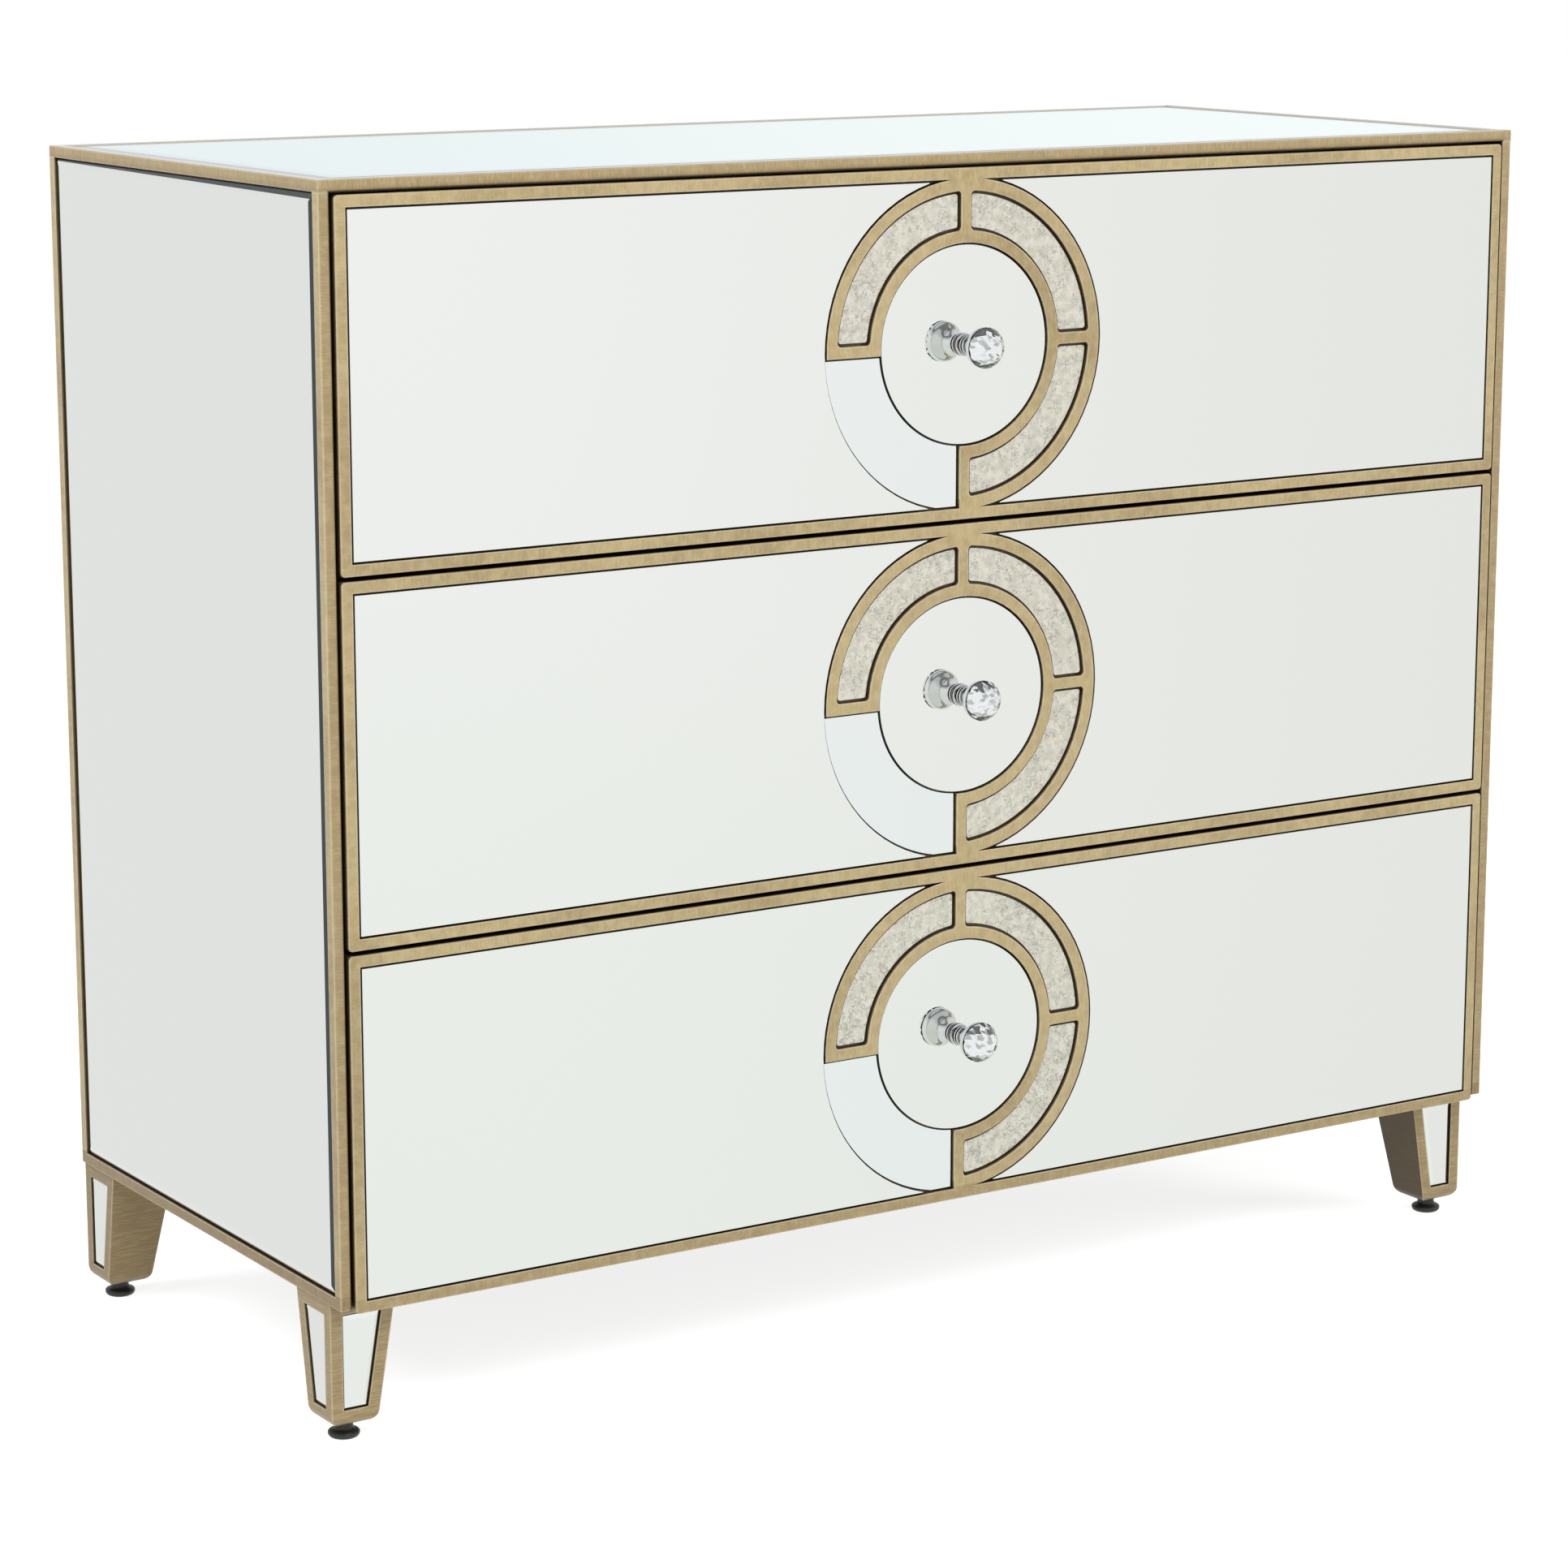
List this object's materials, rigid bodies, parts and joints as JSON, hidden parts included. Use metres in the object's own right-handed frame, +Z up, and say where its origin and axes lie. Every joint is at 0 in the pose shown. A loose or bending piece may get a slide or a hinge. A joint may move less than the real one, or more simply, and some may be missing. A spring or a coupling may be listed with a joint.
{
  "type": "chest of drawers",
  "caption": "Mirrored chest of drawers with champagne-gold bars, ring fretwork, antiqued mirror insets, crystal knobs and tapered legs; drawers pull out on telescopic runners.",
  "frame": {"origin": "on the floor under the middle of the chest's box, knobs included", "axes": "+Z up, +X to the right as seen from the front, drawers open towards -Y"},
  "size_m": [1, 0.46, 0.852],
  "materials": {
    "gold_paint": "champagne-gold paint with brushed streaks on fibreboard",
    "plain_mirror": "silvered mirror glass",
    "antique_mirror": "antiqued mirror with grey speckle",
    "crystal": "clear faceted crystal",
    "chrome": "polished chrome",
    "box_board": "lacquered birch board",
    "dark_board": "dark painted fibreboard",
    "zinc_steel": "zinc-plated steel",
    "black_plastic": "black moulded plastic"
  },
  "bodies": {
    "carcass": {"back_left_leg": "gold_paint", "back_leg_mirrors": "plain_mirror", "back_panel": "dark_board", "back_right_leg": "gold_paint", "back_screws": "zinc_steel", "bottom_panel": "dark_board", "cabinet_runners": "zinc_steel", "carcass_dowels": "box_board", "front_left_leg": "gold_paint", "front_leg_mirrors": "plain_mirror", "front_right_leg": "gold_paint", "left_side_mirror": "plain_mirror", "left_side_panel": "gold_paint", "leg_bolts": "zinc_steel", "lower_rail": "dark_board", "right_side_mirror": "plain_mirror", "right_side_panel": "gold_paint", "top_mirror": "plain_mirror", "top_panel": "gold_paint", "upper_rail": "dark_board"},
    "lower_drawer": {"lower_antique_segments": "antique_mirror", "lower_box_bottom": "box_board", "lower_box_ends": "box_board", "lower_box_sides": "box_board", "lower_drawer_front": "gold_paint", "lower_drawer_panes": "plain_mirror", "lower_drawer_runners": "zinc_steel", "lower_drawer_screws": "zinc_steel", "lower_knob_base": "chrome", "lower_knob_crystal": "crystal", "lower_ring_mirrors": "plain_mirror"},
    "lower_intermediate": {"lower_intermediate_runners": "zinc_steel"},
    "middle_drawer": {"middle_antique_segments": "antique_mirror", "middle_box_bottom": "box_board", "middle_box_ends": "box_board", "middle_box_sides": "box_board", "middle_drawer_front": "gold_paint", "middle_drawer_panes": "plain_mirror", "middle_drawer_runners": "zinc_steel", "middle_drawer_screws": "zinc_steel", "middle_knob_base": "chrome", "middle_knob_crystal": "crystal", "middle_ring_mirrors": "plain_mirror"},
    "middle_intermediate": {"middle_intermediate_runners": "zinc_steel"},
    "upper_drawer": {"upper_antique_segments": "antique_mirror", "upper_box_bottom": "box_board", "upper_box_ends": "box_board", "upper_box_sides": "box_board", "upper_drawer_front": "gold_paint", "upper_drawer_panes": "plain_mirror", "upper_drawer_runners": "zinc_steel", "upper_drawer_screws": "zinc_steel", "upper_knob_base": "chrome", "upper_knob_crystal": "crystal", "upper_ring_mirrors": "plain_mirror"},
    "upper_intermediate": {"upper_intermediate_runners": "zinc_steel"},
    "back_left_leveller": {"back_left_foot": "black_plastic"},
    "back_right_leveller": {"back_right_foot": "black_plastic"},
    "front_left_leveller": {"front_left_foot": "black_plastic"},
    "front_right_leveller": {"front_right_foot": "black_plastic"}
  },
  "joints": [
    {"name": "lower_drawer_slide", "type": "slide", "parent": "carcass", "child": "lower_drawer", "axis": [0, -1, 0], "range_m": [0, 0.33]},
    {"name": "lower_intermediate_slide", "type": "slide", "parent": "carcass", "child": "lower_intermediate", "axis": [0, -1, 0], "range_m": [0, 0.165]},
    {"name": "middle_drawer_slide", "type": "slide", "parent": "carcass", "child": "middle_drawer", "axis": [0, -1, 0], "range_m": [0, 0.33]},
    {"name": "middle_intermediate_slide", "type": "slide", "parent": "carcass", "child": "middle_intermediate", "axis": [0, -1, 0], "range_m": [0, 0.165]},
    {"name": "upper_drawer_slide", "type": "slide", "parent": "carcass", "child": "upper_drawer", "axis": [0, -1, 0], "range_m": [0, 0.33]},
    {"name": "upper_intermediate_slide", "type": "slide", "parent": "carcass", "child": "upper_intermediate", "axis": [0, -1, 0], "range_m": [0, 0.165]},
    {"name": "front_left_foot_screw", "type": "slide", "parent": "carcass", "child": "front_left_leveller", "axis": [0, 0, -1], "range_m": [0, 0.01]},
    {"name": "front_right_foot_screw", "type": "slide", "parent": "carcass", "child": "front_right_leveller", "axis": [0, 0, -1], "range_m": [0, 0.01]},
    {"name": "back_left_foot_screw", "type": "slide", "parent": "carcass", "child": "back_left_leveller", "axis": [0, 0, -1], "range_m": [0, 0.01]},
    {"name": "back_right_foot_screw", "type": "slide", "parent": "carcass", "child": "back_right_leveller", "axis": [0, 0, -1], "range_m": [0, 0.01]}
  ],
  "couplings": [
    {"joint": "lower_intermediate_slide", "follows": "lower_drawer_slide", "ratio": 0.5},
    {"joint": "middle_intermediate_slide", "follows": "middle_drawer_slide", "ratio": 0.5},
    {"joint": "upper_intermediate_slide", "follows": "upper_drawer_slide", "ratio": 0.5}
  ]
}
